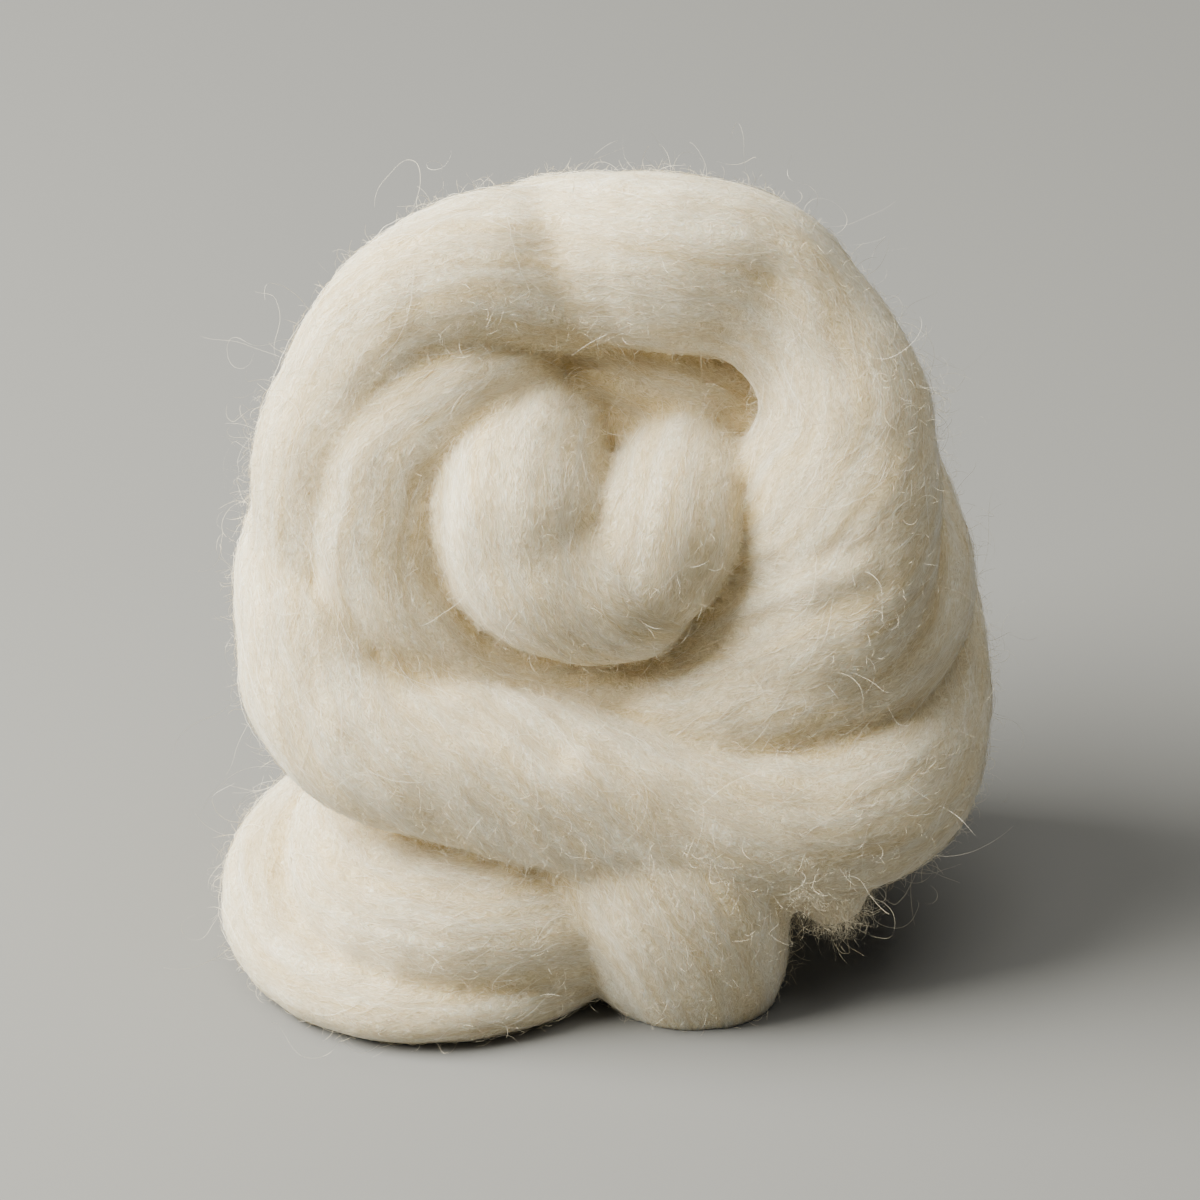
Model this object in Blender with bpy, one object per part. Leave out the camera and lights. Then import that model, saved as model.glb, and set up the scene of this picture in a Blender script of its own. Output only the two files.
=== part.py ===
"""A hand-wound bundle of combed wool roving, modelled as one solid.

One thick rope of loose wool is wound outwards from its folded end, so that its turns show on one face.
The face looks towards -Y and leans back a little. A band crosses below it, and the bundle stands on the
last turns, which lie on the ground as a loop and a lobe.
Units are metres with +Z up, and the ground is z = 0. The tables of turns are in millimetres.
"""

import bisect
import math

import bmesh
import bpy
from mathutils import Matrix, Vector

MM = 0.001

FACE_LEAN = math.radians(30.0)  # between the plane that the face tables are drawn in and upright
STRAIGHTEN = math.tan(math.radians(15.0))  # how far the face stands forward of that plane, per mm up it
HINGE_UP = 50.0  # where the face and that plane cross, in mm up it
SINK = 0.6  # how far the ground presses into the lowest turns, in mm
FOOTPRINT_MIDDLE = (-0.1, 52.8)  # x and y in the tables' own places, in mm, that the origin stands at

FINE_STEPS = 240  # points that a stretch's smooth curve is read at
RING_STEP = 3.5  # distance between two rings of a stretch, in mm
RING_SIDES = 24
END_CROWDING = 0.05  # how much closer the rings stand at both ends, where the tube rounds off
MIN_END = 0.08  # size of the last ring, as a share of the section
VOXEL = 1.8  # grain at which the stretches fuse, in mm
SMOOTH_ROUNDS = 3
TRIANGLES = 7800
GROUND_BLOCK = 0.4  # side of the block that presses the flat spots
WOOL_CREAM = (0.80, 0.74, 0.62, 1.0)  # linear colour
WOOL_ROUGHNESS = 0.95

# Each table is one stretch of the roving, a row for each section, in mm: across the face to the right,
# up the face, out towards the viewer, then how wide the section is along the face and how thick.
FACE_STRANDS = {
    "core": (
        (0, 70, -34, 60, 56),
        (0, 96, -36, 92, 58),
        (4, 122, -38, 74, 52),
    ),
    "inner_ring": (
        (-3, 127, -34, 16, 16),
        (-9, 130, -24, 20, 20),
        (-19, 130, -13, 23, 22),
        (-31, 125, -7, 25, 24),
        (-40, 115, -5, 26, 24),
        (-42, 104, -4, 27, 24),
        (-41, 92, -4, 27, 24),
        (-36, 81, -5, 27, 24),
        (-27, 73, -6, 28, 24),
        (-13, 68, -8, 28, 24),
        (7, 67, -8, 29, 24),
        (25, 71, -6, 32, 26),
        (37, 80, -3, 38, 28),
        (43, 94, -2, 43, 30),
        (45, 109, -2, 41, 30),
        (46, 124, -4, 34, 29),
        (40, 137, -7, 30, 28),
        (28, 148, -8, 34, 28),
        (12, 151, -7, 36, 30),
        (-1, 150, -12, 35, 30),
        (-12, 147, -24, 34, 30),
        (-20, 142, -38, 32, 30),
    ),
    "left_arch": (
        (14, 146, -36, 32, 28),
        (2, 152, -22, 34, 28),
        (-11, 152, -12, 32, 27),
        (-26, 149, -9, 30, 27),
        (-40, 142, -8, 28, 26),
        (-49, 130, -8, 26, 26),
        (-55, 117, -8, 26, 26),
        (-56, 102, -9, 26, 26),
        (-54, 86, -11, 26, 26),
        (-47, 74, -17, 26, 26),
    ),
    "front_band": (
        (-50, 104, -42, 30, 28),
        (-57, 94, -27, 30, 28),
        (-58, 83, -11, 30, 28),
        (-55, 70, 0, 33, 28),
        (-44, 59, 6, 33, 28),
        (-26, 54, 8, 33, 28),
        (-5, 49, 8, 33, 28),
        (17, 44, 6, 32, 28),
        (38, 44, 2, 34, 30),
        (54, 50, -4, 35, 30),
        (60, 60, -15, 31, 30),
        (61, 74, -26, 30, 30),
        (58, 88, -34, 30, 30),
        (50, 102, -40, 32, 30),
    ),
    "outer_sweep": (
        (48, 117, -28, 26, 26),
        (54, 106, -21, 28, 27),
        (58, 93, -15, 28, 27),
        (56, 81, -8, 28, 27),
        (46, 73, -4, 27, 26),
        (32, 68, -2, 26, 26),
        (16, 64, -3, 25, 24),
        (2, 62, -8, 24, 22),
        (-10, 60, -16, 22, 20),
    ),
    "left_lobe": (
        (-8, 124, -26, 22, 20),
        (-14, 118, -8, 29, 24),
        (-17, 107, 2, 33, 27),
        (-15, 96, 3, 34, 28),
        (-7, 90, 3, 32, 28),
        (5, 89, 2, 29, 26),
        (15, 94, -4, 24, 22),
    ),
    "right_lobe": (
        (18, 115, -22, 22, 20),
        (15, 110, -7, 28, 24),
        (12, 102, 0, 31, 26),
        (9, 96, 2, 31, 27),
        (5, 91, 1, 28, 26),
        (2, 86, -6, 22, 20),
    ),
    "hollow_shelf": (
        (-14, 138, -27, 20, 20),
        (-4, 135, -20, 22, 22),
        (8, 131, -17, 24, 22),
        (20, 128, -16, 25, 22),
        (31, 123, -16, 24, 22),
        (38, 113, -21, 20, 20),
    ),
    "cleft_floor": (
        (0, 124, -26, 16, 14),
        (1, 117, -19, 16, 14),
        (2, 109, -14, 16, 14),
        (2, 101, -10, 14, 13),
        (2, 94, -8, 12, 12),
    ),
    "back_coil": (
        (6, 98, -66, 24, 22),
        (-8, 106, -68, 26, 24),
        (-18, 96, -68, 28, 26),
        (-12, 80, -66, 30, 28),
        (8, 74, -64, 32, 30),
        (28, 84, -60, 34, 32),
        (36, 104, -56, 36, 34),
        (26, 126, -54, 36, 34),
        (2, 138, -52, 36, 34),
        (-26, 130, -52, 36, 34),
        (-42, 108, -50, 36, 34),
        (-42, 82, -50, 36, 34),
        (-26, 62, -50, 36, 34),
        (2, 56, -50, 36, 34),
        (28, 62, -48, 36, 34),
        (44, 80, -42, 36, 34),
        (48, 102, -36, 34, 34),
        (42, 126, -32, 34, 32),
        (24, 141, -32, 32, 30),
        (2, 145, -32, 32, 30),
        (-24, 141, -32, 32, 30),
        (-44, 124, -32, 32, 30),
        (-50, 102, -32, 32, 30),
    ),
}

# The same for the stretches that lie on the ground or stand on it: x, y and z, then width and thickness.
GROUND_STRANDS = {
    "base_loop": (
        (14, 44, 14, 24, 26),
        (4, 32, 12, 24, 22),
        (-8, 19, 8, 24, 17),
        (-22, 9, 7, 24, 15),
        (-38, 6, 7, 24, 15),
        (-53, 12, 7, 24, 16),
        (-62, 25, 9, 25, 19),
        (-63, 42, 12, 26, 24),
        (-54, 60, 13, 29, 28),
        (-34, 76, 14, 32, 30),
        (-6, 84, 15, 34, 32),
        (20, 76, 15, 34, 32),
        (32, 56, 15, 32, 30),
    ),
    "inner_fold": (
        (-44, 53, 26, 26, 26),
        (-49, 38, 23, 27, 28),
        (-46, 22, 20, 29, 29),
        (-34, 14, 19, 30, 29),
        (-17, 14, 18, 29, 28),
        (-2, 22, 17, 28, 28),
        (10, 36, 18, 26, 26),
    ),
    "under_band": (
        (-50, 43, 40, 30, 28),
        (-30, 37, 37, 32, 30),
        (-6, 35, 36, 32, 30),
        (16, 37, 36, 30, 28),
        (38, 45, 38, 28, 26),
    ),
    "middle_lobe": (
        (6, 37, 52, 38, 30),
        (7, 28, 41, 45, 32),
        (10, 19, 30, 50, 34),
        (14, 16, 19, 47, 34),
        (17, 17, 8, 39, 32),
        (19, 19, -2, 31, 28),
        (20, 24, -10, 22, 20),
    ),
    "underside": (
        (-46, 34, 17, 30, 30),
        (-22, 44, 17, 34, 32),
        (6, 50, 17, 34, 32),
        (26, 46, 17, 30, 30),
    ),
    "tail_tuft": (
        (40, 22, 30, 14, 12),
        (44, 16, 24, 14, 11),
        (47, 14, 18, 12, 9),
    ),
}


# The way that the thickness of each of those points at the middle of the stretch.
GROUND_FRONTS = {
    "base_loop": (0, 0, 1),
    "inner_fold": (0, -0.5, 1),
    "under_band": (0, -0.7, 0.7),
    "middle_lobe": (0, -1, 0),
    "underside": (0, 0, 1),
    "tail_tuft": (0, -1, 0),
}


def face_point(across, up, out):
    """A point of the wound face as a place in the world, in mm."""
    out += STRAIGHTEN * (up - HINGE_UP)
    return Vector(
        (
            across,
            up * math.sin(FACE_LEAN) - out * math.cos(FACE_LEAN),
            up * math.cos(FACE_LEAN) + out * math.sin(FACE_LEAN),
        )
    )


def ground_point(x, y, z):
    """A point beside the ground as a place in the world, in mm."""
    return Vector((x, y, z))


def eased(rows, share):
    """The row at a share of the way through a table, read from a smooth curve through its rows."""
    place = share * (len(rows) - 1)
    i = min(int(place), len(rows) - 2)
    t = place - i
    a, b, c, d = (rows[max(0, min(k, len(rows) - 1))] for k in range(i - 1, i + 3))
    row = []
    for p, q, r, s in zip(a, b, c, d):
        straight = 2 * q + (r - p) * t
        bend = (2 * p - 5 * q + 4 * r - s) * t**2 + (3 * q - p - 3 * r + s) * t**3
        row.append((straight + bend) / 2)
    return row


def carried_fronts(points, facing):
    """The way that a strand's front faces at each point, carried from its middle without twisting."""
    middle = len(points) // 2
    fronts = [facing.copy() for _ in points]
    for ways in (range(middle, len(points)), range(middle, -1, -1)):
        front = facing.copy()
        for i in ways:
            ahead = points[min(i + 1, len(points) - 1)] - points[max(i - 1, 0)]
            front -= front.project(ahead)
            front.normalize()
            fronts[i] = front.copy()
    return fronts


def add_strand(bm, rows, to_world, facing):
    """Adds a closed tube with oval sections through the rows of a table. Its two ends are rounded."""
    fine = [eased(rows, k / FINE_STEPS) for k in range(FINE_STEPS + 1)]
    points = [to_world(*row[:3]) for row in fine]
    fronts = carried_fronts(points, facing)
    run = [0.0]
    for a, b in zip(points, points[1:]):
        run.append(run[-1] + (b - a).length)
    count = max(6, round(run[-1] / RING_STEP))
    loops = []
    for ring in range(count + 1):
        # Rings crowd towards both ends, where the rounding is.
        share = ring / count - END_CROWDING * math.sin(2 * math.pi * ring / count)
        along = min(max(run[-1] * share, 0.0), run[-1])
        k = max(1, bisect.bisect_left(run, along))
        part = (along - run[k - 1]) / (run[k] - run[k - 1])
        here = points[k - 1].lerp(points[k], part) - Vector((*FOOTPRINT_MIDDLE, SINK))
        wide, thick = (fine[k - 1][j] * (1 - part) + fine[k][j] * part for j in (3, 4))
        from_end = min(1.0, min(along, run[-1] - along) / (min(wide, thick) / 2))
        scale = max(MIN_END, math.sqrt(1 - (1 - from_end) ** 2)) / 2
        ahead = (points[min(k + 1, FINE_STEPS)] - points[max(k - 2, 0)]).normalized()
        front = fronts[k]
        side = ahead.cross(front).normalized()
        turn = Matrix((side * wide * scale, front * thick * scale, ahead)).transposed()
        place = Matrix.Scale(MM, 4) @ Matrix.Translation(here) @ turn.to_4x4()
        ends = ring in (0, count)
        made = bmesh.ops.create_circle(bm, cap_ends=ends, segments=RING_SIDES, radius=1.0, matrix=place)
        around = set(made["verts"])
        touching = {e for v in around for e in v.link_edges}
        loops.append([e for e in touching if set(e.verts) <= around])
        if ring:
            bmesh.ops.bridge_loops(bm, edges=loops[-2] + loops[-1])


def wind_strands():
    """All the stretches as closed tubes in one mesh, which still pass through each other."""
    bm = bmesh.new()
    face_out = face_point(0, 0, 1) - face_point(0, 0, 0)
    for rows in FACE_STRANDS.values():
        add_strand(bm, rows, face_point, face_out)
    for name, rows in GROUND_STRANDS.items():
        add_strand(bm, rows, ground_point, Vector(GROUND_FRONTS[name]))
    bmesh.ops.recalc_face_normals(bm, faces=bm.faces)
    mesh = bpy.data.meshes.new("wound_roving")
    bm.to_mesh(mesh)
    bm.free()
    mesh.shade_smooth()
    roving = bpy.data.objects.new("wound_roving", mesh)
    bpy.context.scene.collection.objects.link(roving)
    return roving


def fuse_strands(roving):
    """Grows the tubes together into one body, softens the creases and facets it."""
    fuse = roving.modifiers.new("fuse", "REMESH")
    fuse.mode = "VOXEL"
    fuse.voxel_size = VOXEL * MM
    fuse.use_remove_disconnected = True
    fuse.use_smooth_shade = True
    soften = roving.modifiers.new("soften", "SMOOTH")
    soften.iterations = SMOOTH_ROUNDS
    fused = roving.evaluated_get(bpy.context.evaluated_depsgraph_get()).data
    fused.calc_loop_triangles()
    facet = roving.modifiers.new("facet", "DECIMATE")
    facet.ratio = TRIANGLES / len(fused.loop_triangles)
    facet.use_collapse_triangulate = True


def press_flat(roving):
    """Cuts the lowest turns flat where they rest on the ground."""
    block = bpy.data.meshes.new("ground_block")
    bm = bmesh.new()
    below = Matrix.Translation((0, 0, -GROUND_BLOCK / 2))
    bmesh.ops.create_cube(bm, size=GROUND_BLOCK, matrix=below)
    bm.to_mesh(block)
    bm.free()
    ground = bpy.data.objects.new("ground_block", block)
    ground.display_type = "WIRE"
    ground.hide_render = True
    bpy.context.scene.collection.objects.link(ground)
    press = roving.modifiers.new("press_flat", "BOOLEAN")
    press.operation = "DIFFERENCE"
    press.solver = "EXACT"
    press.object = ground


def wool():
    """Undyed combed wool: warm cream, and wholly matt."""
    material = bpy.data.materials.new("undyed_wool")
    material.use_nodes = True
    shader = material.node_tree.nodes["Principled BSDF"]
    shader.inputs["Base Color"].default_value = WOOL_CREAM
    shader.inputs["Roughness"].default_value = WOOL_ROUGHNESS
    shader.inputs["Metallic"].default_value = 0.0
    return material


for old in list(bpy.data.objects):
    bpy.data.objects.remove(old)
wound = wind_strands()
wound.data.materials.append(wool())
fuse_strands(wound)
press_flat(wound)
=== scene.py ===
import bisect
import math

import bmesh
import bpy
import numpy as np
from mathutils import Matrix, Vector
from mathutils.bvhtree import BVHTree


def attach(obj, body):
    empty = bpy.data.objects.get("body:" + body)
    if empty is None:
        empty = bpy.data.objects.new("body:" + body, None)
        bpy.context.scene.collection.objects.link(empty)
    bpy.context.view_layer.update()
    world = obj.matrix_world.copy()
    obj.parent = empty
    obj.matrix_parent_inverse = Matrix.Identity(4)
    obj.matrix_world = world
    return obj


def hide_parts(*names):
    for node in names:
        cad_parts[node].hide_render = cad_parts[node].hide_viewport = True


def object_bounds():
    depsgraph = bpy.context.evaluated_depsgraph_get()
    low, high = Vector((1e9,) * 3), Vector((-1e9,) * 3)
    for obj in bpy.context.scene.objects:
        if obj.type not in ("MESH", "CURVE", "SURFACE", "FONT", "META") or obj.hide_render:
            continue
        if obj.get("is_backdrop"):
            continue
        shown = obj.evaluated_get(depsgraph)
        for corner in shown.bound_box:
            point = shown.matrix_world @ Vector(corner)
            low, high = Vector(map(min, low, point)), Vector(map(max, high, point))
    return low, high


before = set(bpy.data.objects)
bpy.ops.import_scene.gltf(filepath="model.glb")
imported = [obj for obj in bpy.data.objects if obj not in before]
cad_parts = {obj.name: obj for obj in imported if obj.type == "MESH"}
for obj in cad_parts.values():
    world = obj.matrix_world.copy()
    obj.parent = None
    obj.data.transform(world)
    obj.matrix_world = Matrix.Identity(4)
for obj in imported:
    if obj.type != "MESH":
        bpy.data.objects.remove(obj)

MM = 0.001
cad_low, cad_high = (np.array(corner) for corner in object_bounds())


# The camera looks along +Y and 30 degrees down, from far enough away that there is little perspective.
VIEW_DOWN = math.radians(30.0)
CAMERA_AWAY = 1.5
FRAME_WIDTH = 0.234
VIEW_CENTRE = Vector((-0.0011, -0.0102, 0.0743))

camera = bpy.data.objects.new("camera", bpy.data.cameras.new("camera"))
bpy.context.scene.collection.objects.link(camera)
camera.location = VIEW_CENTRE + CAMERA_AWAY * Vector((0, -math.cos(VIEW_DOWN), math.sin(VIEW_DOWN)))
camera.rotation_euler = (math.pi / 2 - VIEW_DOWN, 0, 0)
camera.data.sensor_width = 36
camera.data.lens = camera.data.sensor_width * CAMERA_AWAY / FRAME_WIDTH
bpy.context.scene.camera = camera


# The rope of wool: combed, undyed sheep's wool drawn into a loose rope and wound by hand into a bundle.
# Nothing holds it but the grip of its own fibres, so the turns press together in soft creases and each
# stretch shows its fibres lying along it with a slight twist.
FACE_LEAN = math.radians(30.0)
STRAIGHTEN = math.tan(math.radians(15.0))
HINGE_UP = 50.0
SINK = 0.6
FOOTPRINT_MIDDLE = (-0.1, 52.8)

# Each stretch has a row for each section, in mm and degrees: across the face to the right, up the face, out
# towards the viewer, how wide and how thick the section is, and how far the fibres slant across the stretch.
FACE_STRANDS = {
    "core": (
        (0, 70, -34, 60, 56, 0),
        (0, 96, -36, 92, 58, 0),
        (4, 122, -40, 74, 44, 0),
    ),
    "inner_ring": (
        (-3, 127, -34, 16, 16, 0),
        (-9, 130, -24, 20, 20, 0),
        (-19, 130, -13, 23, 22, 0),
        (-31, 125, -6, 27, 24, 5),
        (-41, 115, -4, 29, 24, 8),
        (-43, 104, -3, 30, 24, 8),
        (-42, 92, -3, 30, 24, 5),
        (-36, 81, -4, 29, 24, 0),
        (-27, 73, -6, 28, 24, 0),
        (-13, 68, -8, 28, 24, 0),
        (7, 67, -8, 29, 24, 0),
        (24, 72, -6, 33, 26, 8),
        (36, 81, -3, 40, 28, 22),
        (43, 94, -2, 43, 30, 34),
        (45, 109, -2, 41, 30, 26),
        (46, 124, -4, 34, 29, 12),
        (40, 137, -7, 30, 28, 4),
        (28, 148, -8, 34, 28, 0),
        (12, 151, -7, 36, 30, 0),
        (-1, 152, -11, 35, 30, 0),
        (-12, 152, -22, 33, 30, 0),
        (-20, 148, -36, 30, 30, 0),
    ),
    "left_arch": (
        (14, 138, -36, 30, 28, 0),
        (3, 146, -22, 33, 28, 0),
        (-10, 150, -12, 32, 27, 6),
        (-26, 149, -9, 30, 27, 10),
        (-40, 142, -8, 28, 26, 10),
        (-49, 130, -8, 26, 26, 8),
        (-55, 117, -8, 26, 26, 5),
        (-56, 102, -9, 26, 26, 5),
        (-54, 86, -11, 26, 26, 5),
        (-47, 74, -17, 26, 26, 5),
    ),
    "front_band": (
        (-52, 110, -42, 24, 24, 10),
        (-60, 101, -26, 19, 24, 10),
        (-62, 92, -14, 21, 26, 12),
        (-59, 81, -5, 27, 28, 16),
        (-54, 69, 1, 33, 28, 20),
        (-44, 59, 6, 33, 28, 28),
        (-26, 54, 8, 33, 28, 34),
        (-5, 49, 8, 33, 28, 30),
        (17, 44, 6, 32, 28, 20),
        (38, 44, 2, 34, 30, 8),
        (54, 50, -4, 35, 30, 0),
        (60, 60, -15, 31, 30, 0),
        (61, 74, -26, 30, 30, 0),
        (58, 88, -34, 30, 30, 0),
        (50, 102, -40, 32, 30, 0),
    ),
    "outer_sweep": (
        (48, 117, -28, 26, 26, 0),
        (54, 106, -21, 28, 27, 0),
        (58, 93, -15, 28, 27, 0),
        (56, 81, -8, 28, 27, 0),
        (46, 73, -4, 27, 26, 0),
        (32, 68, -2, 26, 26, 0),
        (16, 64, -3, 25, 24, 0),
        (2, 62, -8, 24, 22, 0),
        (-10, 60, -16, 22, 20, 0),
    ),
    "left_lobe": (
        (-8, 124, -26, 22, 20, 0),
        (-14, 118, -8, 29, 24, 0),
        (-17, 107, 2, 33, 27, 0),
        (-15, 96, 3, 34, 28, 12),
        (-7, 90, 3, 32, 28, 40),
        (5, 89, 2, 29, 26, 50),
        (15, 94, -4, 24, 22, 50),
    ),
    "right_lobe": (
        (18, 115, -22, 22, 20, 0),
        (15, 110, -7, 28, 24, -10),
        (12, 102, 0, 31, 26, -20),
        (9, 96, 2, 31, 27, -25),
        (5, 91, 1, 28, 26, -20),
        (2, 86, -6, 22, 20, 0),
    ),
    "hollow_shelf": (
        (-14, 138, -27, 20, 20, 0),
        (-4, 135, -20, 22, 22, 0),
        (8, 131, -20, 24, 22, 0),
        (20, 127, -22, 25, 22, 0),
        (31, 122, -24, 24, 22, 0),
        (38, 113, -27, 20, 20, 0),
    ),
    "cleft_floor": (
        (0, 124, -21, 17, 14, 0),
        (1, 117, -14, 17, 14, 0),
        (2, 109, -14, 16, 14, 0),
        (2, 101, -10, 14, 13, 0),
        (2, 94, -8, 12, 12, 0),
    ),
    "back_coil": (
        (6, 98, -66, 24, 22, 0),
        (-8, 106, -68, 26, 24, 5),
        (-18, 96, -68, 28, 26, 8),
        (-12, 80, -66, 30, 28, 10),
        (8, 74, -64, 32, 30, 10),
        (28, 84, -60, 34, 32, 10),
        (36, 104, -56, 36, 34, 12),
        (26, 126, -54, 36, 34, 12),
        (2, 138, -52, 36, 34, 12),
        (-26, 130, -52, 36, 34, 8),
        (-42, 108, -50, 36, 34, 5),
        (-42, 82, -50, 36, 34, 5),
        (-26, 62, -50, 36, 34, 5),
        (2, 56, -50, 36, 34, 5),
        (28, 62, -48, 36, 34, 5),
        (44, 80, -42, 36, 34, 8),
        (48, 102, -36, 34, 34, 8),
        (42, 126, -32, 34, 32, 8),
        (24, 141, -32, 32, 30, 5),
        (2, 145, -32, 32, 30, 5),
        (-24, 141, -32, 32, 30, 5),
        (-44, 124, -32, 32, 30, 5),
        (-50, 102, -32, 32, 30, 5),
    ),
}
# The same for the stretches that lie on the ground or stand on it: x, y and z first.
GROUND_STRANDS = {
    "base_loop": (
        (14, 44, 14, 24, 26, 0),
        (4, 32, 12, 24, 22, 0),
        (-8, 19, 8, 24, 17, 0),
        (-22, 9, 7, 24, 15, 0),
        (-38, 6, 7, 24, 15, 0),
        (-53, 12, 7, 24, 16, 0),
        (-62, 25, 9, 25, 19, 0),
        (-63, 42, 12, 26, 24, 0),
        (-54, 60, 13, 29, 28, 5),
        (-34, 76, 14, 32, 30, 8),
        (-6, 84, 15, 34, 32, 8),
        (20, 76, 15, 34, 32, 8),
        (32, 56, 15, 32, 30, 8),
    ),
    "inner_fold": (
        (-44, 53, 26, 26, 26, 0),
        (-49, 38, 23, 27, 28, 0),
        (-46, 22, 20, 29, 29, 0),
        (-34, 14, 19, 30, 29, 0),
        (-17, 14, 18, 29, 28, 0),
        (-2, 22, 17, 28, 28, 0),
        (10, 36, 18, 26, 26, 0),
    ),
    "under_band": (
        (-50, 43, 40, 30, 28, 0),
        (-30, 35, 37, 32, 30, 0),
        (-6, 34, 36, 32, 30, 0),
        (16, 37, 36, 30, 28, 0),
        (38, 45, 38, 28, 26, 0),
    ),
    "middle_lobe": (
        (6, 37, 52, 38, 30, 0),
        (7, 28, 41, 45, 32, -12),
        (10, 19, 30, 50, 34, -18),
        (14, 16, 19, 47, 34, -10),
        (17, 17, 8, 39, 32, 0),
        (19, 19, -2, 31, 28, 0),
        (20, 24, -10, 22, 20, 0),
    ),
    "underside": (
        (-46, 34, 17, 30, 30, 0),
        (-22, 44, 17, 34, 32, 0),
        (6, 50, 17, 34, 32, 0),
        (26, 46, 17, 30, 30, 0),
    ),
    "tail_tuft": (
        (40, 22, 30, 14, 12, 0),
        (44, 16, 24, 14, 11, 0),
        (47, 14, 18, 12, 9, 0),
    ),
}
GROUND_FRONTS = {
    "base_loop": (0, 0, 1),
    "inner_fold": (0, -0.5, 1),
    "under_band": (0, -0.7, 0.7),
    "middle_lobe": (0, -1, 0),
    "underside": (0, 0, 1),
    "tail_tuft": (0, -1, 0),
}
FINE_STEPS = 240
RING_STEP = 2.5  # mm between a tube's rings
RING_SIDES = 28
END_CROWDING = 0.05  # how much closer the rings stand near the tube's ends
MIN_END = 0.08  # the last ring's size, as a share of the section
VOXEL = 1.22  # mm
SMOOTH_ROUNDS = 9
FLOW_ROUNDS = 3  # how often the fibres' way is shared with the neighbours'
LUMP_RISE = 0.3  # mm, as the next two
RIDGE_RISE = 0.12
FINE_RIDGE_RISE = 0.05
TOWARDS_VIEWER = np.array([0, -math.cos(VIEW_DOWN), math.sin(VIEW_DOWN)])
NEAR_HALF = -20 * MM  # places further from the viewer than this aren't on the face
CREASE_FULL = 1.3  # mm deep, where a crease counts as a whole one


def face_point(across, up, out):
    """A point of the wound face as a place in the world, in mm."""
    out += STRAIGHTEN * (up - HINGE_UP)
    return Vector(
        (
            across,
            up * math.sin(FACE_LEAN) - out * math.cos(FACE_LEAN),
            up * math.cos(FACE_LEAN) + out * math.sin(FACE_LEAN),
        )
    )


def ground_point(x, y, z):
    """A point beside the ground as a place in the world, in mm."""
    return Vector((x, y, z))


def eased(rows, share):
    """The row at a share of the way through a table, read from a smooth curve through its rows."""
    place = share * (len(rows) - 1)
    i = min(int(place), len(rows) - 2)
    t = place - i
    a, b, c, d = (rows[max(0, min(k, len(rows) - 1))] for k in range(i - 1, i + 3))
    row = []
    for p, q, r, s in zip(a, b, c, d):
        straight = 2 * q + (r - p) * t
        bend = (2 * p - 5 * q + 4 * r - s) * t**2 + (3 * q - p - 3 * r + s) * t**3
        row.append((straight + bend) / 2)
    return row


def carried_fronts(points, facing):
    """The way that a strand's front faces at each point, carried from its middle without twisting."""
    middle = len(points) // 2
    fronts = [facing.copy() for _ in points]
    for ways in (range(middle, len(points)), range(middle, -1, -1)):
        front = facing.copy()
        for i in ways:
            ahead = points[min(i + 1, len(points) - 1)] - points[max(i - 1, 0)]
            front -= front.project(ahead)
            front.normalize()
            fronts[i] = front.copy()
    return fronts


def add_strand(bm, rows, to_world, facing):
    """Adds a closed tube with oval sections. Returns, for each ring, where it is and which ways it faces."""
    fine = [eased(rows, k / FINE_STEPS) for k in range(FINE_STEPS + 1)]
    points = [to_world(*row[:3]) for row in fine]
    fronts = carried_fronts(points, facing)
    run, drift = [0.0], [0.0]
    for k, (a, b) in enumerate(zip(points, points[1:])):
        run.append(run[-1] + (b - a).length)
        drift.append(drift[-1] + (b - a).length * math.tan(math.radians(fine[k][5])))
    count = max(6, round(run[-1] / RING_STEP))
    loops, rings = [], []
    for ring in range(count + 1):
        share = ring / count - END_CROWDING * math.sin(2 * math.pi * ring / count)
        along = min(max(run[-1] * share, 0.0), run[-1])
        k = max(1, bisect.bisect_left(run, along))
        part = (along - run[k - 1]) / (run[k] - run[k - 1])
        here = points[k - 1].lerp(points[k], part) - Vector((*FOOTPRINT_MIDDLE, SINK))
        wide, thick, slant = (fine[k - 1][j] * (1 - part) + fine[k][j] * part for j in (3, 4, 5))
        from_end = min(1.0, min(along, run[-1] - along) / (min(wide, thick) / 2))
        scale = max(MIN_END, math.sqrt(1 - (1 - from_end) ** 2)) / 2
        ahead = (points[min(k + 1, FINE_STEPS)] - points[max(k - 2, 0)]).normalized()
        front = fronts[k]
        side = ahead.cross(front).normalized()
        turn = Matrix((side * wide * scale, front * thick * scale, ahead)).transposed()
        place = Matrix.Scale(MM, 4) @ Matrix.Translation(here) @ turn.to_4x4()
        ends = ring in (0, count)
        made = bmesh.ops.create_circle(bm, cap_ends=ends, segments=RING_SIDES, radius=1.0, matrix=place)
        around = set(made["verts"])
        touching = {e for v in around for e in v.link_edges}
        loops.append([e for e in touching if set(e.verts) <= around])
        if ring:
            bmesh.ops.bridge_loops(bm, edges=loops[-2] + loops[-1])
        rings.append((along, drift[k], slant, (wide + thick) / 4, ahead, front, side, here))
    return rings


bm = bmesh.new()
first_vertex, strand_rings = [], []
strands = [(rows, face_point, face_point(0, 0, 1) - face_point(0, 0, 0)) for rows in FACE_STRANDS.values()]
strands += [(rows, ground_point, Vector(GROUND_FRONTS[name])) for name, rows in GROUND_STRANDS.items()]
for rows, to_world, facing in strands:
    first_vertex.append(len(bm.verts))
    strand_rings.append(add_strand(bm, rows, to_world, facing))
bmesh.ops.recalc_face_normals(bm, faces=bm.faces)
bmesh.ops.triangulate(bm, faces=bm.faces)
tubes = bpy.data.meshes.new("tubes")
bm.to_mesh(tubes)
bm.free()

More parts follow.
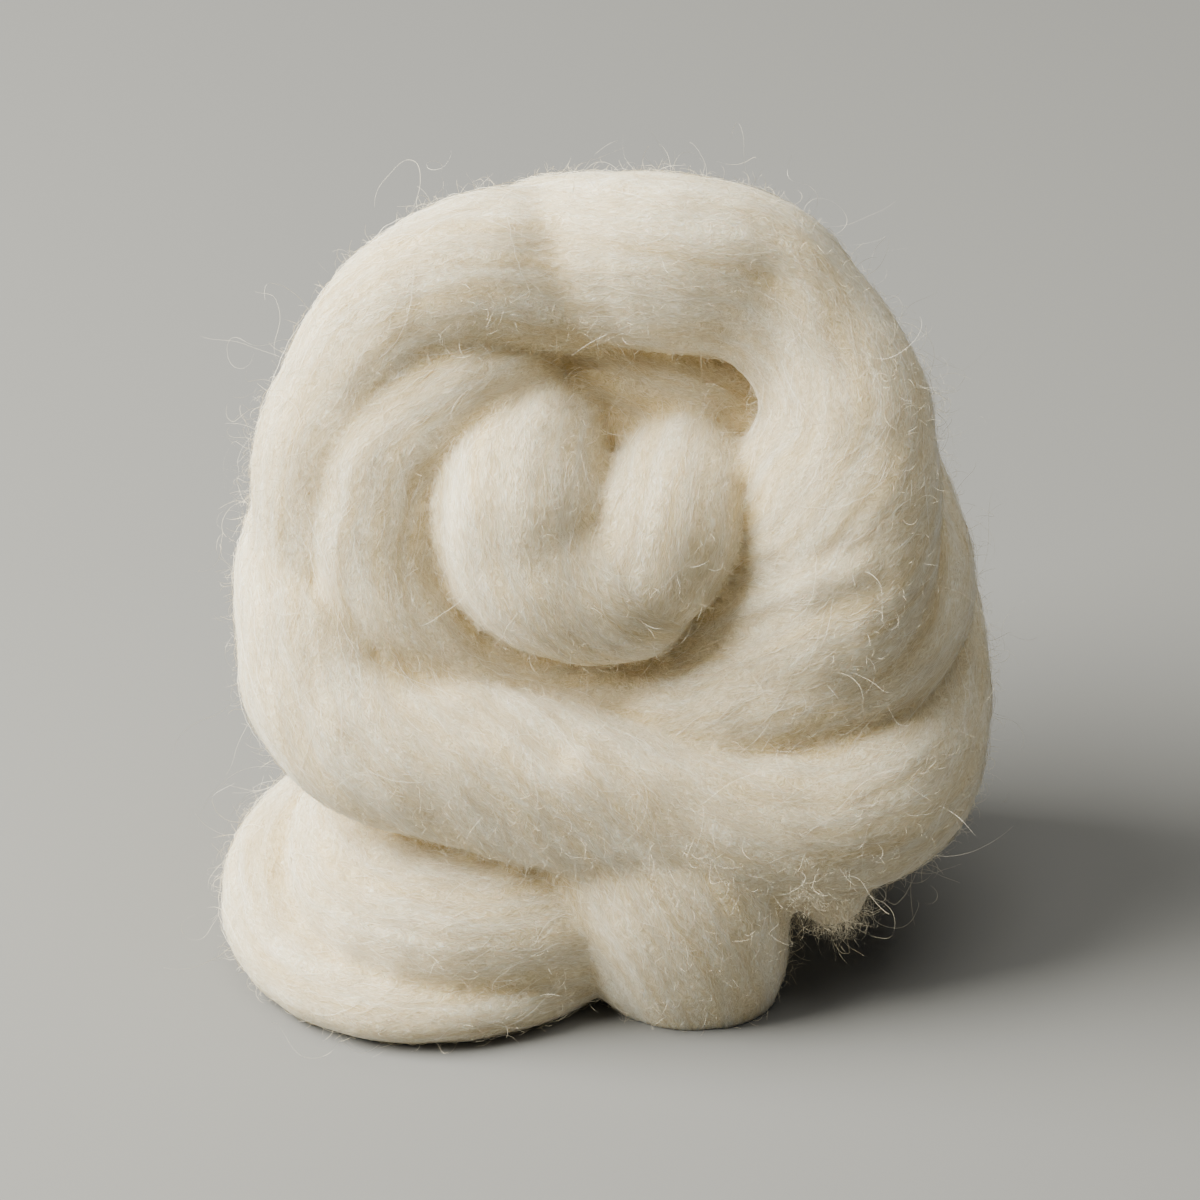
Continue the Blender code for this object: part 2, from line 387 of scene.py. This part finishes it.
# What each point of the tubes knows: its stretch, how far along it and round it is, and which way fibres run.
tube_at = np.empty(len(tubes.vertices) * 3, np.float32)
tubes.vertices.foreach_get("co", tube_at)
tube_at = tube_at.reshape(-1, 3).astype(float)
tube_corners = np.array([tuple(p.vertices) for p in tubes.polygons])
tube_strand = np.zeros(len(tube_at), int)
tube_along, tube_round, tube_girth = (np.zeros(len(tube_at)) for _ in range(3))
tube_flow = np.zeros((len(tube_at), 3))
for number, (start, rings) in enumerate(zip(first_vertex, strand_rings)):
    girth = 2 * math.pi * float(np.mean([r[3] for r in rings]))
    for index, (along, drift, slant, _, ahead, front, side, here) in enumerate(rings):
        rows_here = slice(start + index * RING_SIDES, start + (index + 1) * RING_SIDES)
        spoke = tube_at[rows_here] / MM - np.array(here)
        turn = np.arctan2(spoke @ np.array(side), spoke @ np.array(front))
        tube_strand[rows_here] = number
        tube_along[rows_here] = along
        tube_round[rows_here] = turn / (2 * math.pi) * girth - drift
        tube_girth[rows_here] = girth
        round_way = np.outer(np.cos(turn), side) - np.outer(np.sin(turn), front)
        tube_flow[rows_here] = np.array(ahead) + math.tan(math.radians(slant)) * round_way
tube_flow /= np.linalg.norm(tube_flow, axis=1, keepdims=True)

body = bpy.data.objects.new("wool_roving", tubes)
bpy.context.scene.collection.objects.link(body)
fuse = body.modifiers.new("fuse", "REMESH")
fuse.mode = "VOXEL"
fuse.voxel_size = VOXEL * MM
fuse.use_remove_disconnected = True
soften = body.modifiers.new("soften", "SMOOTH")
soften.iterations = SMOOTH_ROUNDS
fused = bpy.data.meshes.new_from_object(body.evaluated_get(bpy.context.evaluated_depsgraph_get()))
body.modifiers.clear()
body.data = fused
fused.name = "wool_roving"


def numbers(items, name, width=1, kind=np.float32):
    """A mesh's numbers as an array, a row for each item."""
    got = np.empty(len(items) * width, kind)
    items.foreach_get(name, got)
    return got.reshape(-1, width) if width > 1 else got


def unit(vectors):
    return vectors / np.maximum(np.linalg.norm(vectors, axis=-1, keepdims=True), 1e-12)


def spread(values, edges, rounds, keep=0.5):
    """Values at the vertices, softened by their neighbours' a number of times."""
    count = np.bincount(edges.ravel(), minlength=len(values))[:, None]
    for _ in range(rounds):
        total = np.zeros_like(values)
        for a, b in (edges.T, edges.T[::-1]):
            for axis in range(values.shape[1]):
                total[:, axis] += np.bincount(a, values[b, axis], len(values))
        values = keep * values + (1 - keep) * total / count
    return values


body_at = numbers(fused.vertices, "co", 3).astype(float)
body_out = numbers(fused.vertices, "normal", 3).astype(float)
body_edges = numbers(fused.edges, "vertices", 2, np.int32)
body_quads = numbers(fused.loops, "vertex_index", 1, np.int32).reshape(-1, 4)


def on_tubes(tree, triangles, places):
    """The tubes' triangle nearest to each place, and its corners' shares of the nearest point."""
    hits = [tree.find_nearest(Vector(p)) for p in places]
    corners = triangles[np.array([h[2] for h in hits])]
    near = np.array([tuple(h[0]) for h in hits])
    a, b, c = (tube_at[corners[:, k]] for k in range(3))
    ab, ac, ap = b - a, c - a, near - a
    d00, d01, d11 = ((x * y).sum(1) for x, y in ((ab, ab), (ab, ac), (ac, ac)))
    d20, d21 = (ap * ab).sum(1), (ap * ac).sum(1)
    below = np.maximum(d00 * d11 - d01 * d01, 1e-18)
    second = np.clip((d11 * d20 - d01 * d21) / below, 0, 1)
    third = np.clip((d00 * d21 - d01 * d20) / below, 0, 1)
    return corners, np.stack([1 - second - third, second, third], 1)


every_tube = BVHTree.FromPolygons(tube_at.tolist(), tube_corners.tolist())
corners, shares = on_tubes(every_tube, tube_corners, body_at)
body_strand = tube_strand[corners[:, 0]]
body_flow = (tube_flow[corners] * shares[:, :, None]).sum(1)
body_flow = unit(body_flow - (body_flow * body_out).sum(1, keepdims=True) * body_out)
for _ in range(FLOW_ROUNDS):
    # Neighbours on another stretch may run the other way, and are turned round before they are shared.
    a, b = body_edges.T
    agree = np.sign((body_flow[a] * body_flow[b]).sum(1, keepdims=True))
    total = body_flow.copy()
    for axis in range(3):
        total[:, axis] += np.bincount(a, (agree * body_flow[b])[:, axis], len(total))
        total[:, axis] += np.bincount(b, (agree * body_flow[a])[:, axis], len(total))
    body_flow = unit(total - (total * body_out).sum(1, keepdims=True) * body_out)


# Lumps and long ridges that break the even round of each stretch, as loosely drawn wool has.
def ripples(places, lengths, waves, seed):
    """A smooth random surface between about -1 and 1. lengths are the shortest waves along each way."""
    draw = np.random.default_rng(seed)
    total = np.zeros(len(places))
    for _ in range(waves):
        pace = draw.normal(0, 1, places.shape[1]) / np.array(lengths)
        total += np.sin(2 * math.pi * (places @ pace) * 0.6 + draw.uniform(0, 2 * math.pi))
    return total / math.sqrt(waves) / 1.2


body_along = (tube_along[corners] * shares).sum(1)
girth = tube_girth[corners[:, :1]]
body_round = tube_round[corners]
body_round = body_round + np.round((body_round[:, :1] - body_round) / girth) * girth
body_round = (body_round * shares).sum(1)
fibre_places = np.stack([body_along, body_round, 40.0 * body_strand], 1)
raised = LUMP_RISE * ripples(body_at / MM, (20, 20, 20), 14, 3)
raised += RIDGE_RISE * ripples(fibre_places, (70, 6.5, 40), 16, 4)
raised += FINE_RIDGE_RISE * ripples(fibre_places, (45, 3.2, 40), 16, 5)

# Troughs that the winding left on the face, each a line of (across, up) with its width and depth.
TROUGHS = (
    (((-8, 150), (-1, 142), (5, 134)), 10.0, 1.3),
    (((32, 146), (33, 137), (31, 127)), 5.0, 0.9),
    (((-44, 75), (-30, 68), (-20, 62), (-9, 57)), 3.4, 1.2),
    (((52, 88), (36, 83), (22, 78)), 3.2, 1.0),
    (((46, 96), (32, 91), (21, 88)), 3.0, 0.8),
)


def from_line(places, outwards, line):
    """How far places are from a line drawn on the face, in mm, and how much each shows on that side."""
    at = places / MM + np.array([*FOOTPRINT_MIDDLE, SINK])
    at = np.stack([at[:, 0], at @ np.array([0, math.sin(VIEW_DOWN), math.cos(VIEW_DOWN)])], 1)
    nearest = np.full(len(at), np.inf)
    line = np.array(line, float)
    for a, b in zip(line, line[1:]):
        share = np.clip(((at - a) @ (b - a)) / ((b - a) @ (b - a)), 0, 1)[:, None]
        nearest = np.minimum(nearest, np.linalg.norm(at - a - share * (b - a), axis=1))
    return nearest, np.clip(outwards @ TOWARDS_VIEWER * 2, 0, 1) * (places @ TOWARDS_VIEWER > NEAR_HALF)


for line, width, depth in TROUGHS:
    nearest, shows = from_line(body_at, body_out, line)
    raised -= depth * shows * np.exp(-((nearest / width) ** 2))
body_at = body_at + body_out * raised[:, None] * MM
fused.vertices.foreach_set("co", body_at.astype(np.float32).ravel())
fused.update()
body_out = numbers(fused.vertices, "normal", 3).astype(float)

# How deep each point lies in a crease: how far the surface, smoothed over, would stand above it.
smooth_over = spread(body_at, body_edges, 40)
body_depth = ((smooth_over - body_at) * body_out).sum(1) / MM
body_depth = spread(np.clip(body_depth / CREASE_FULL, 0, 1)[:, None], body_edges, 10)[:, 0]

# The map follows the fibres: along them and across them, in mm. Each stretch has a place of its own in it.
MAP_ALONG, MAP_ACROSS = 173, 59
face_strand = body_strand[body_quads[:, 0]]
body_map = np.zeros((len(body_quads), 4, 2), np.float32)
for number in range(len(strands)):
    quads = np.flatnonzero(face_strand == number)
    if not len(quads):
        continue
    mine = tube_corners[tube_strand[tube_corners[:, 0]] == number]
    tree = BVHTree.FromPolygons(tube_at.tolist(), mine.tolist())
    used, back = np.unique(body_quads[quads], return_inverse=True)
    corners, shares = on_tubes(tree, mine, body_at[used])
    round_about = tube_round[corners]
    girth = tube_girth[corners[:, :1]]
    round_about = round_about + np.round((round_about[:, :1] - round_about) / girth) * girth
    across = (round_about * shares).sum(1)[back].reshape(-1, 4)
    across += np.round((across[:, :1] - across) / girth[0]) * girth[0]
    body_map[quads, :, 0] = (tube_along[corners] * shares).sum(1)[back].reshape(-1, 4) + MAP_ALONG * number
    body_map[quads, :, 1] = across + MAP_ACROSS * number
layer = fused.uv_layers.new(name="fibres")
layer.uv.foreach_set("vector", body_map.ravel())
depth_layer = fused.attributes.new("crease", "FLOAT", "POINT")
depth_layer.data.foreach_set("value", body_depth.astype(np.float32))

# Pressed flat where it stands.
body_at[:, 2] = np.maximum(body_at[:, 2], 0)
fused.vertices.foreach_set("co", body_at.astype(np.float32).ravel())
fused.update()
fused.shade_smooth()


# Undyed wool from a fibre in shade to one in full light.
CREAM = ("#d3c6a8", "#ebe0c5", "#f9f3e2")


def colour(code):
    """A linear colour from its sRGB hex code."""
    parts = [int(code[i : i + 2], 16) / 255 for i in (1, 3, 5)]
    return (*[p / 12.92 if p <= 0.04045 else ((p + 0.055) / 1.055) ** 2.4 for p in parts], 1.0)


def node(tree, kind, settings=(), **inputs):
    """Adds a node with its settings. A value that is a socket is linked, and any other is set."""
    made = tree.nodes.new("ShaderNode" + kind)
    for name, value in dict(settings).items():
        setattr(made, name, value)
    for name, value in inputs.items():
        socket = made.inputs[int(name[1:])] if name[1:].isdigit() else made.inputs[name.replace("_", " ")]
        if isinstance(value, bpy.types.NodeSocket):
            tree.links.new(value, socket)
        else:
            socket.default_value = value
    return made


def ramp(tree, value, stops):
    """A colour ramp through (place, colour) stops."""
    made = node(tree, "ValToRGB", Fac=value)
    while len(made.color_ramp.elements) < len(stops):
        made.color_ramp.elements.new(0.5)
    for element, (place, shade) in zip(made.color_ramp.elements, stops):
        element.position = place
        element.color = shade
    return made.outputs["Color"]


# Combed, undyed wool: matt and creamy, with light sinking a few mm into it, a bloom at its edges, fine
# bunches of crimped hairs along it, and painted shade that darkens it to tan down in the creases.
wool = bpy.data.materials.new("combed_wool")
wool.use_nodes = True
tree = wool.node_tree
shader = tree.nodes["Principled BSDF"]
along_fibres = node(tree, "UVMap", {"uv_map": "fibres"}).outputs["UV"]
u_way, v_way, _ = node(tree, "SeparateXYZ", Vector=along_fibres).outputs


def flat_noise(u, v, u_scale, v_scale, **settings):
    """Noise over the map, with its own scale along and across the fibres, per mm."""
    place = node(tree, "CombineXYZ", X=u, Y=v)
    scaled = node(tree, "Mapping", Vector=place.outputs[0], Scale=(u_scale, v_scale, 1)).outputs[0]
    noise = node(tree, "TexNoise", {"noise_dimensions": "2D"}, Vector=scaled, Scale=1.0, **settings)
    return noise.outputs["Fac"]


def maths(kind, a, b=0.0, c=0.0):
    return node(tree, "Math", {"operation": kind}, _0=a, _1=b, _2=c).outputs[0]


# Fibres wander across the rope and back, and wave every 2 mm or so with the crimp that wool grows with.
wander = maths("MULTIPLY_ADD", flat_noise(u_way, v_way, 0.07, 0.16, Detail=1.0), 6.0, v_way)
uneven_turn = flat_noise(u_way, v_way, 0.12, 0.7, Detail=1.0)
crimp_turn = maths("MULTIPLY_ADD", uneven_turn, 22.0, maths("MULTIPLY", u_way, 2.9))
crimped = maths("MULTIPLY_ADD", maths("SINE", crimp_turn), 0.16, wander)
# 25-micron fibres are too fine to show, so their bunches are drawn, about 0.2 mm across and 2 mm long.
hairs = flat_noise(u_way, crimped, 0.55, 4.4, Detail=2.0, Roughness=0.6)
rising = maths("MULTIPLY_ADD", u_way, 0.45, crimped)
falling = maths("MULTIPLY_ADD", u_way, -0.5, crimped)
crossing = maths("MAXIMUM", flat_noise(u_way, rising, 0.5, 4.8, Detail=1.0),
                 flat_noise(u_way, falling, 0.45, 5.2, Detail=1.0))
bright_hairs = node(tree, "MapRange", Value=crossing, From_Min=0.56, From_Max=0.76).outputs[0]
streak = node(tree, "MapRange", Value=hairs, From_Min=0.3, From_Max=0.7).outputs[0]
weft = maths("MULTIPLY_ADD", bright_hairs, 0.6, maths("MULTIPLY_ADD", streak, 0.75, -0.08))
locks = flat_noise(u_way, wander, 0.035, 0.3, Detail=2.0)
clump = node(tree, "MapRange", Value=locks, From_Min=0.3, From_Max=0.7).outputs[0]
cream = ramp(tree, weft, [(0.0, colour(CREAM[0])), (0.5, colour(CREAM[1])), (1.0, colour(CREAM[2]))])
cast = ramp(tree, clump, [(0.0, colour("#f4ecd9")), (1.0, colour("#ffffff"))])
MULTIPLIED = {"data_type": "RGBA", "blend_type": "MULTIPLY"}
warm = node(tree, "Mix", MULTIPLIED, _0=1.0, _6=cream, _7=cast)
# Painted shade: the colour is darkened towards tan down in the creases, the deeper the crease the darker.
crease = node(tree, "Attribute", {"attribute_name": "crease"}).outputs["Fac"]
tan = ramp(tree, crease, [(0.0, colour("#ffffff")), (0.4, colour("#fcf8ee")), (1.0, colour("#f0e7d3"))])
with_painted_crease_shade = node(tree, "Mix", MULTIPLIED, _0=1.0, _6=warm.outputs[2], _7=tan)
tree.links.new(with_painted_crease_shade.outputs[2], shader.inputs["Base Color"])
bump = node(tree, "Bump", Strength=0.8, Distance=0.2 * MM, Height=weft)
tree.links.new(bump.outputs[0], shader.inputs["Normal"])
shader.inputs["Roughness"].default_value = 0.9
shader.inputs["Specular IOR Level"].default_value = 0.12
shader.inputs["Sheen Weight"].default_value = 0.3
shader.inputs["Sheen Roughness"].default_value = 0.5
shader.inputs["Subsurface Weight"].default_value = 0.8
shader.inputs["Subsurface Radius"].default_value = (1.0, 0.85, 0.65)
shader.inputs["Subsurface Scale"].default_value = 3.0 * MM
fused.materials.clear()
fused.materials.append(wool)
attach(body, "root")
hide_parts("wound_roving")


# The fibres that lie on the rope's surface: single hairs and fine bunches a little proud of the rest, each
# following the rope with a crimp of its own, as combing left them.
ROOTED_FROM = 0.4 * MM  # no fibre starts lower than this, where the bundle is pressed on the ground
LOWEST_FIBRE = 0.15 * MM
END_DEPTH = 0.05 * MM  # how far a lying fibre's ends are sunk
body_tree = BVHTree.FromPolygons(body_at.tolist(), body_quads.tolist())
quad_flow = unit(body_flow[body_quads].sum(1) + 1e-9)
quad_centre = body_at[body_quads].mean(1)
diagonal = body_at[body_quads[:, 2]] - body_at[body_quads[:, 0]]
other_diagonal = body_at[body_quads[:, 3]] - body_at[body_quads[:, 1]]
quad_area = np.linalg.norm(np.cross(diagonal, other_diagonal), axis=1) / 2
quad_depth = body_depth[body_quads].mean(1)
off_ground = quad_centre[:, 2] > ROOTED_FROM

# A single wool hair: matt, its tone differing at random, with painted shade that turns it tan down in a
# crease, and nearly white on the outside.
TONE_CELLS = 24
fibre = bpy.data.materials.new("wool_fibre")
fibre.use_nodes = True
tree = fibre.node_tree
shader = tree.nodes["Principled BSDF"]
tone_map = node(tree, "UVMap", {"uv_map": "OFBake"}).outputs["UV"]
tone_at = node(tree, "SeparateXYZ", Vector=tone_map).outputs["X"]
tones = ramp(tree, tone_at, [(0.0, colour("#ad9570")), (0.3, colour(CREAM[0])), (0.6, colour(CREAM[1])),
                             (1.0, colour(CREAM[2]))])
tree.links.new(tones, shader.inputs["Base Color"])
shader.inputs["Roughness"].default_value = 0.8
shader.inputs["Specular IOR Level"].default_value = 0.12


def wool_piece(name, at, corners, tone, across, along, outwards=None):
    """A piece of wool from its points and its quads' corners. Each fibre's map lies in one cell of tone."""
    mesh = bpy.data.meshes.new(name)
    mesh.vertices.add(len(at))
    mesh.vertices.foreach_set("co", at.astype(np.float32).ravel())
    mesh.loops.add(len(corners))
    mesh.loops.foreach_set("vertex_index", corners.astype(np.int32))
    mesh.polygons.add(len(corners) // 4)
    mesh.polygons.foreach_set("loop_start", np.arange(0, len(corners), 4, dtype=np.int32))
    mesh.update(calc_edges=True)
    middle = (np.floor(np.clip(tone, 0, 0.999) * TONE_CELLS) + 0.5) / TONE_CELLS
    places = np.stack([middle + across * 0.6 / TONE_CELLS, along], 1)
    mesh.uv_layers.new(name="OFBake").uv.foreach_set("vector", places[corners].astype(np.float32).ravel())
    mesh.shade_smooth()
    if outwards is not None:
        mesh.normals_split_custom_set_from_vertices(outwards)
    mesh.materials.append(fibre)
    piece = bpy.data.objects.new(name, mesh)
    bpy.context.scene.collection.objects.link(piece)
    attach(piece, "root")
    return piece


def strips(name, paths, sideways, outwards, width, tone):
    """One mesh of narrow ribbons, one for each path of points. tone picks each one's shade."""
    count, length = paths.shape[:2]
    taper = np.sin(np.linspace(0.3, math.pi - 0.15, length))[None, :, None, None] ** 0.6
    hand = np.array([-0.5, 0.5])[None, None, :, None]
    at = paths[:, :, None, :] + (sideways[:, :, None, :] * hand * taper) * width[:, None, None, None]
    at[..., 2] = np.maximum(at[..., 2], LOWEST_FIBRE)
    start = (np.arange(count) * length * 2)[:, None, None]
    step = (np.arange(length - 1) * 2)[None, :, None]
    corners = (start + step + np.array([0, 1, 3, 2])).reshape(-1)
    across = np.tile([-0.5, 0.5], count * length)
    along = np.tile(np.repeat(np.linspace(0.02, 0.98, length), 2), count)
    facing = None if outwards is None else np.repeat(outwards.reshape(-1, 3), 2, axis=0)
    return wool_piece(name, at.reshape(-1, 3), corners, np.repeat(tone, length * 2), across, along, facing)


def picked_places(chance, count, draw):
    """Random points on the body: their quads, places and ways out."""
    picked = draw.choice(len(quad_area), count, p=chance / chance.sum())
    a, b, c, d = (body_at[body_quads[picked, k]] for k in range(4))
    s, t = draw.random((2, count, 1))
    place = (a * (1 - s) + b * s) * (1 - t) + (d * (1 - s) + c * s) * t
    return picked, place, unit(body_out[body_quads[picked]].mean(1))


def resample(points, length):
    """Paths read at more places along them, evenly and smoothly."""
    count = points.shape[1]
    place = np.linspace(0, count - 1, length)
    i = np.clip(place.astype(int), 0, count - 2)
    t = (place - i)[None, :, None]
    a, b = points[:, np.maximum(i - 1, 0)], points[:, i]
    c, d = points[:, i + 1], points[:, np.minimum(i + 2, count - 1)]
    bend = (2 * a - 5 * b + 4 * c - d) * t**2 + (3 * b - a - 3 * c + d) * t**3
    return (2 * b + (c - a) * t + bend) / 2


def fibre_heading(picked, out, draw, stray):
    """The rope's own way at each place, either way along it, turned aside by about stray radians."""
    flow = quad_flow[picked] * draw.choice([-1.0, 1.0], (len(picked), 1))
    flow = unit(flow + np.cross(out, flow) * draw.normal(0, stray, (len(picked), 1)))
    return unit(flow - (flow * out).sum(1, keepdims=True) * out)


def lying_fibres(name, count, seed, reach, stray, lift, width, wave, crimp, tone_base, length=11, steps=4):
    """Fibres that follow the rope's surface from random places. Pairs are the least and the most."""
    draw = np.random.default_rng(seed)
    picked, at, out = picked_places(quad_area * off_ground, count, draw)
    stride = draw.uniform(*reach, count)[:, None] * MM / (steps - 1)
    flow = fibre_heading(picked, out, draw, stray)
    depth = quad_depth[picked]
    bend = draw.normal(0, stray / 2, (count, 1))
    path, outs = [at], [out]
    for _ in range(steps - 1):
        hits = [body_tree.find_nearest(Vector(p)) for p in at + flow * stride]
        at = np.array([tuple(h[0]) for h in hits])
        out = unit(body_out[body_quads[np.array([h[2] for h in hits])]].mean(1))
        here = quad_flow[np.array([h[2] for h in hits])]
        here = here * np.sign((here * flow).sum(1, keepdims=True))
        flow = unit(0.75 * flow + 0.25 * here + bend * np.cross(out, flow))
        flow = unit(flow - (flow * out).sum(1, keepdims=True) * out)
        path.append(at)
        outs.append(out)
    path, outs = resample(np.stack(path, 1), length), unit(resample(np.stack(outs, 1), length))
    ahead = unit(np.gradient(path, axis=1))
    beside = unit(np.cross(outs, ahead))
    share = np.linspace(0, 1, length)[None, :, None]
    rise = draw.uniform(*lift, (count, 1, 1)) * MM
    arch = np.sin(math.pi * share ** draw.uniform(0.6, 1.6, (count, 1, 1)))
    # Each fibre waves in a plane of its own, half up and half aside, and its strip stands square to that.
    tilt = draw.uniform(0.5, 1.0, (count, 1, 1)) * draw.choice([-1.0, 1.0], (count, 1, 1))
    wave_way = beside * np.sin(tilt) + outs * np.cos(tilt)
    turns = stride[:, None] * (steps - 1) / (draw.uniform(*crimp, (count, 1, 1)) * MM)
    swing = np.sin(2 * math.pi * (turns * share + draw.random((count, 1, 1))))
    sway = swing * draw.uniform(*wave, (count, 1, 1)) * MM
    path = path + outs * (rise * arch - END_DEPTH) + wave_way * sway
    sideways = unit(np.cross(ahead, wave_way))
    # Painted shade: a fibre lying down in a crease gets a darker, tanner tone; the rest of its tone differs
    # at random.
    tone = tone_base - 0.5 * depth + draw.normal(0, 0.2, count)
    facing = unit(outs + 0.35 * wave_way)
    return strips(name, path, sideways, facing, draw.uniform(*width, count) * MM, tone)


for number in range(2):
    lying_fibres(f"lying_fibres_{number + 1}", 9700, 11 + number, reach=(2.5, 7), stray=0.4, lift=(0.1, 0.45),
                 width=(0.06, 0.1), wave=(0.08, 0.2), crimp=(1.8, 3.0), tone_base=0.8)
lying_fibres("long_fibres", 1900, 14, reach=(9, 24), stray=0.45, lift=(0.2, 0.9), width=(0.06, 0.1),
             wave=(0.08, 0.25), crimp=(2.6, 4.5), tone_base=0.9, length=25, steps=8)


# The halo: hairs that stand off the rope in every direction where handling has pulled them loose. Most are
# short and arched, and some are long, thin and curly.
REACH_PAST = 12.5 * MM  # how far a hair may stand past the CAD solid's own box
ROOT_DEPTH = 0.2 * MM
CURL_DRIFT = 0.22  # how fast the way that a hair curls wanders


def curling_paths(at, heading, span, curve, drift, length, draw):
    """Curls that start at places with headings. curve is how sharply each turns, drift how that changes."""
    count = len(at)
    step = (span / (length - 1))[:, None]
    axis = unit(draw.normal(0, 1, (count, 3)))
    path = [at]
    for _ in range(length - 1):
        axis = unit(axis + draw.normal(0, drift, (count, 3)))
        heading = unit(heading + np.cross(axis, heading) * curve[:, None] * step)
        path.append(path[-1] + heading * step)
    return np.stack(path, 1)


def loose_fibres(name, count, seed, reach, lean, curve, width, tone_base, length, chance):
    """Curly hairs that leave the surface. lean is how far they rise from it, in radians."""
    draw = np.random.default_rng(seed)
    picked, at, out = picked_places(chance, count, draw)
    flow = fibre_heading(picked, out, draw, 0.9)
    rise = draw.uniform(*lean, count)[:, None]
    heading = unit(flow * np.cos(rise) + out * np.sin(rise))
    span = draw.uniform(*reach, count) * MM
    curl = draw.uniform(*curve, count) / MM
    paths = curling_paths(at - out * ROOT_DEPTH, heading, span, curl, CURL_DRIFT, length, draw)
    inside = ((paths > cad_low - REACH_PAST) & (paths < cad_high + REACH_PAST)).all((1, 2))
    inside &= paths[:, 1:, 2].min(1) > 0.2 * MM
    # A hair that dips back in and stays there isn't seen, so only those that end outside are kept.
    ends = [body_tree.find_nearest(Vector(p)) for p in paths[:, -1]]
    inside &= np.array([(p - np.array(h[0])) @ np.array(h[1]) > 0 for p, h in zip(paths[:, -1], ends)])
    paths = paths[inside]
    ahead = unit(np.gradient(paths, axis=1))
    sideways = unit(np.cross(ahead, unit(draw.normal(0, 1, (len(paths), 1, 3)))))
    # Painted shade: a hair rooted down in a crease gets a darker, tanner tone; the rest of its tone differs
    # at random.
    tone = tone_base - 0.3 * quad_depth[picked[inside]] + draw.normal(0, 0.1, len(paths))
    return strips(name, paths, sideways, None, draw.uniform(*width, count)[inside] * MM, tone)


anywhere = quad_area * off_ground * (1 - 0.5 * quad_depth)
loose_fibres("short_halo", 20000, 21, reach=(2, 6), lean=(0.1, 1.3), curve=(0.2, 1.1), width=(0.035, 0.055),
             tone_base=0.65, length=8, chance=anywhere)
loose_fibres("long_halo", 900, 22, reach=(8, 32), lean=(0.15, 1.0), curve=(0.06, 0.4), width=(0.035, 0.05),
             tone_base=0.8, length=40, chance=anywhere)

# Where handling has teased the surface, more hairs stand up in a tangle: a line on the face and how wide, how
# many hairs and how long they are, in mm.
TANGLES = {
    "loose_end": (((42, 26), (48, 21)), 5, 1300, (3, 10)),
    "under_band_tangle": (((-32, 41), (-4, 35), (30, 27)), 8, 900, (3, 13)),
    "hollow_tangle": (((-4, 130), (12, 127), (27, 127)), 6, 500, (5, 14)),
    "shoulder_tangle": (((62, 134), (66, 122)), 6, 260, (6, 16)),
    "left_side_tangle": (((-64, 122), (-66, 104)), 6, 260, (6, 16)),
    "right_side_tangle": (((72, 79), (73, 74)), 3, 160, (4, 9)),
}
quad_out = unit(body_out[body_quads].mean(1))
for seed, (name, (line, width, count, reach)) in enumerate(TANGLES.items()):
    nearest, shows = from_line(quad_centre, quad_out, line)
    chance = quad_area * off_ground * (0.3 + shows) * np.exp(-((nearest / width) ** 2))
    chance = chance * (quad_centre @ TOWARDS_VIEWER > NEAR_HALF)
    loose_fibres(name, count, 31 + seed, reach=reach, lean=(0.1, 1.2), curve=(0.2, 1.0), width=(0.03, 0.045),
                 tone_base=0.6, length=16, chance=chance)


# The floor is a plain sheet of pale matt paper, far wider than the view. It isn't part of the object.
FLOOR_HALF = 3.0
bm = bmesh.new()
bmesh.ops.create_grid(bm, x_segments=1, y_segments=1, size=FLOOR_HALF)
floor_mesh = bpy.data.meshes.new("floor")
bm.to_mesh(floor_mesh)
bm.free()
floor = bpy.data.objects.new("floor", floor_mesh)
bpy.context.scene.collection.objects.link(floor)
paper = bpy.data.materials.new("matt_paper")
paper.use_nodes = True
paper.node_tree.nodes["Principled BSDF"].inputs["Base Color"].default_value = colour("#7d7d7c")
paper.node_tree.nodes["Principled BSDF"].inputs["Roughness"].default_value = 0.95
floor_mesh.materials.append(paper)
floor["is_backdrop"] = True


# Soft studio light: a large lamp above the bundle at the left, a weaker one overhead, and a dim, cool room.
AIM = Vector((0, 0, 0.08))


def lamp(name, place, size, power):
    light = bpy.data.lights.new(name, "AREA")
    light.size = size
    light.energy = power
    light.color = colour("#fffdf2")[:3]
    made = bpy.data.objects.new(name, light)
    made.location = place
    made.rotation_euler = (AIM - Vector(place)).to_track_quat("-Z", "Y").to_euler()
    bpy.context.scene.collection.objects.link(made)


lamp("key_light", (-0.97, -0.06, 0.86), 1.0, 76)
lamp("top_light", (0.19, -0.02, 1.31), 1.0, 10)
world = bpy.data.worlds.new("room")
bpy.context.scene.world = world
world.use_nodes = True
world.node_tree.nodes["Background"].inputs["Color"].default_value = colour("#e2eaf6")
world.node_tree.nodes["Background"].inputs["Strength"].default_value = 0.09
